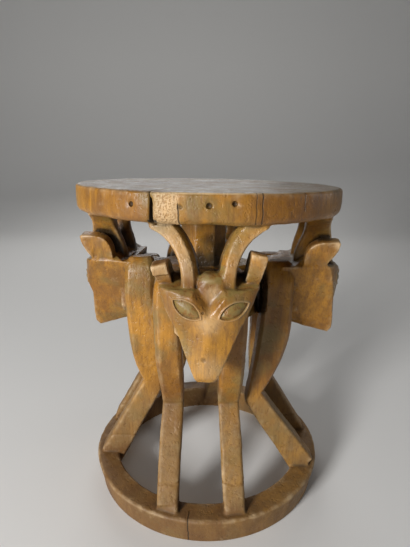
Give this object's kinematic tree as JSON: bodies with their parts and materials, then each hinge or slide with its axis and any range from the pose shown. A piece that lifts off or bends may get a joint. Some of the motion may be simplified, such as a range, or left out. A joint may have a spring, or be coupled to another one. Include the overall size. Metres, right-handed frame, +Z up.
{
  "type": "carved stool",
  "caption": "Round wooden stool carved from one log, its thick seat on the horns of outward-facing antelope heads, with bent legs on an open base ring.",
  "frame": {"origin": "on the floor, at the bottom centre of the bounding box; the middle of the seat and of the base ring stands 3 mm to -X of it and 0.5 mm to -Y, because the heads do not all stand out equally far", "axes": "+Z up towards the seat, -Y towards the head that faces the viewer, +X to the right of that viewer"},
  "size_m": [0.3434, 0.3444, 0.42],
  "materials": {
    "carved_stool": "hand-polished, worn, semi-gloss"
  },
  "bodies": {
    "root": {"carved_stool": "carved_stool"}
  },
  "joints": []
}
